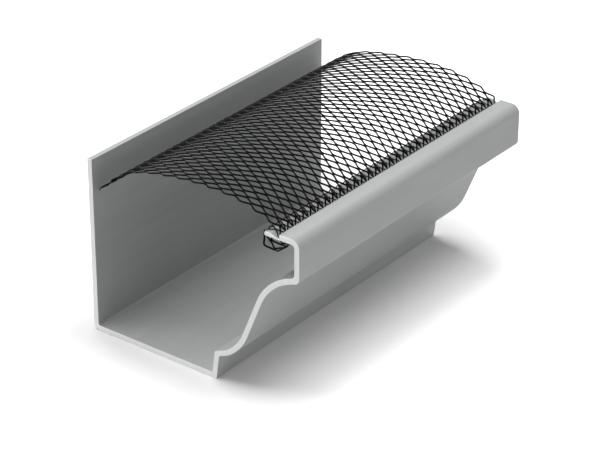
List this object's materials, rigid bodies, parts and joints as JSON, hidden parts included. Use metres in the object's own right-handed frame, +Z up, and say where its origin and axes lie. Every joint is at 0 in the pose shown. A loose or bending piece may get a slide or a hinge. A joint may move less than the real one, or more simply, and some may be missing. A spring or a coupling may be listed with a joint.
{
  "type": "gutter guard",
  "caption": "Bowed expanded-metal gutter guard locked onto the front lip of a cut length of open K-style eaves gutter.",
  "frame": {"origin": "middle of the rectangle the assembly covers, on the underside of the gutter floor", "axes": "+X from the back wall to the front lip, +Y along the gutter, +Z up"},
  "size_m": [0.127, 0.1824, 0.1009],
  "materials": {
    "gutter_metal": "satin",
    "guard_metal": "satin"
  },
  "bodies": {
    "root": {"gutter_trough": "gutter_metal", "lock_edge": "guard_metal", "bow_panel_1": "guard_metal", "bow_panel_2": "guard_metal", "bow_panel_3": "guard_metal"}
  },
  "joints": []
}
